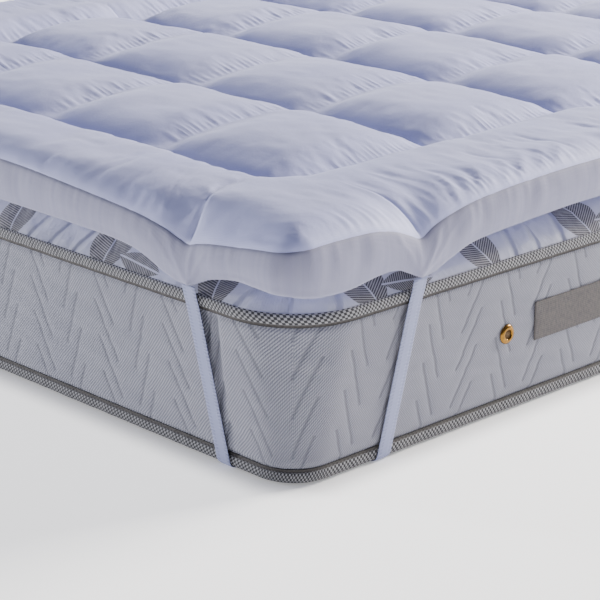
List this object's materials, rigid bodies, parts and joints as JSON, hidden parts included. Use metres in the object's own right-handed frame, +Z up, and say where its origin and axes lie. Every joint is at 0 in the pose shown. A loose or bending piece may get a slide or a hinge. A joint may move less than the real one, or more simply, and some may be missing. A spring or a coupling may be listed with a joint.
{
  "type": "mattress topper on a mattress",
  "caption": "Plump stitched mattress topper with a border roll and side band, held over a taped mattress by corner elastics that pass under its corners.",
  "frame": {"origin": "on the floor under the middle of the mattress", "axes": "+Z up, +Y along the mattress's length, +X across its width towards the side with the patch"},
  "size_m": [1.6076, 2.0076, 0.3691],
  "materials": {
    "topper_satin": "soft cotton satin, pale lavender grey",
    "band_cloth": "plain woven band, slightly darker",
    "elastic": "flat woven elastic",
    "border_knit": "knitted border cloth, quilted",
    "check_tape": "woven check edge tape",
    "brass": "polished",
    "patch_weave": "plain woven patch"
  },
  "bodies": {
    "root": {"topper_pad": "topper_satin", "side_band": "band_cloth", "strap_1": "elastic", "strap_2": "elastic", "strap_3": "elastic", "strap_4": "elastic", "mattress": "border_knit", "tape_top": "check_tape", "tape_bottom": "check_tape", "vent_1": "brass", "vent_2": "brass", "vent_3": "brass", "vent_4": "brass", "patch": "patch_weave"}
  },
  "joints": []
}
